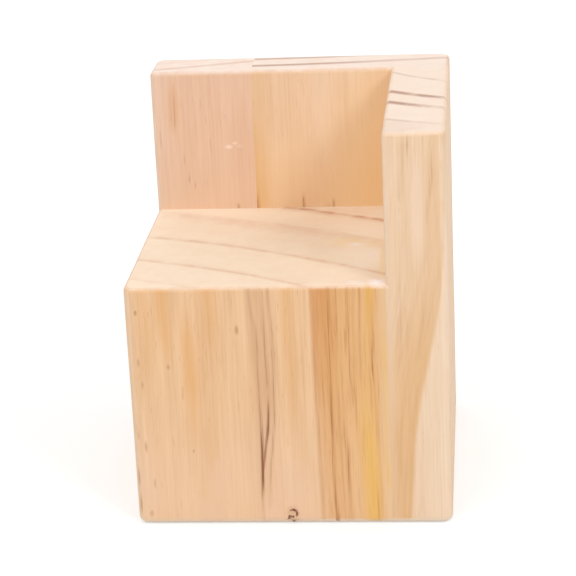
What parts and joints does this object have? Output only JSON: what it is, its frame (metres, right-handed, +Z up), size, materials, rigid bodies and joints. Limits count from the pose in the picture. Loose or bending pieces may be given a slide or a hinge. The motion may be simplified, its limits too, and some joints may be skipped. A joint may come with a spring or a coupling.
{
  "type": "bed riser",
  "caption": "Solid pine corner bed riser: a block with a flat seat that lifts a bed leg and an upright L-shaped lip on two sides that keeps the leg from sliding off.",
  "frame": {"origin": "centre of the square footprint, on the floor", "axes": "+Z up, the lip's side board stands on the +X side and its back board on the +Y side, the open front of the seat faces -Y"},
  "size_m": [0.1, 0.1, 0.128],
  "materials": {
    "core_pine": "sanded bare pine with upright grain, wide growth rings, brown streaks and one yellow streak",
    "side_pine": "sanded bare pine with upright grain, paler than the block",
    "back_left_pine": "sanded bare pine, pinkish, with short dark resin flecks",
    "back_right_pine": "sanded bare pine, yellowish, with faint upright grain"
  },
  "bodies": {
    "root": {"core_block": "core_pine", "side_board": "side_pine", "back_stave_left": "back_left_pine", "back_stave_right": "back_right_pine"}
  },
  "joints": []
}
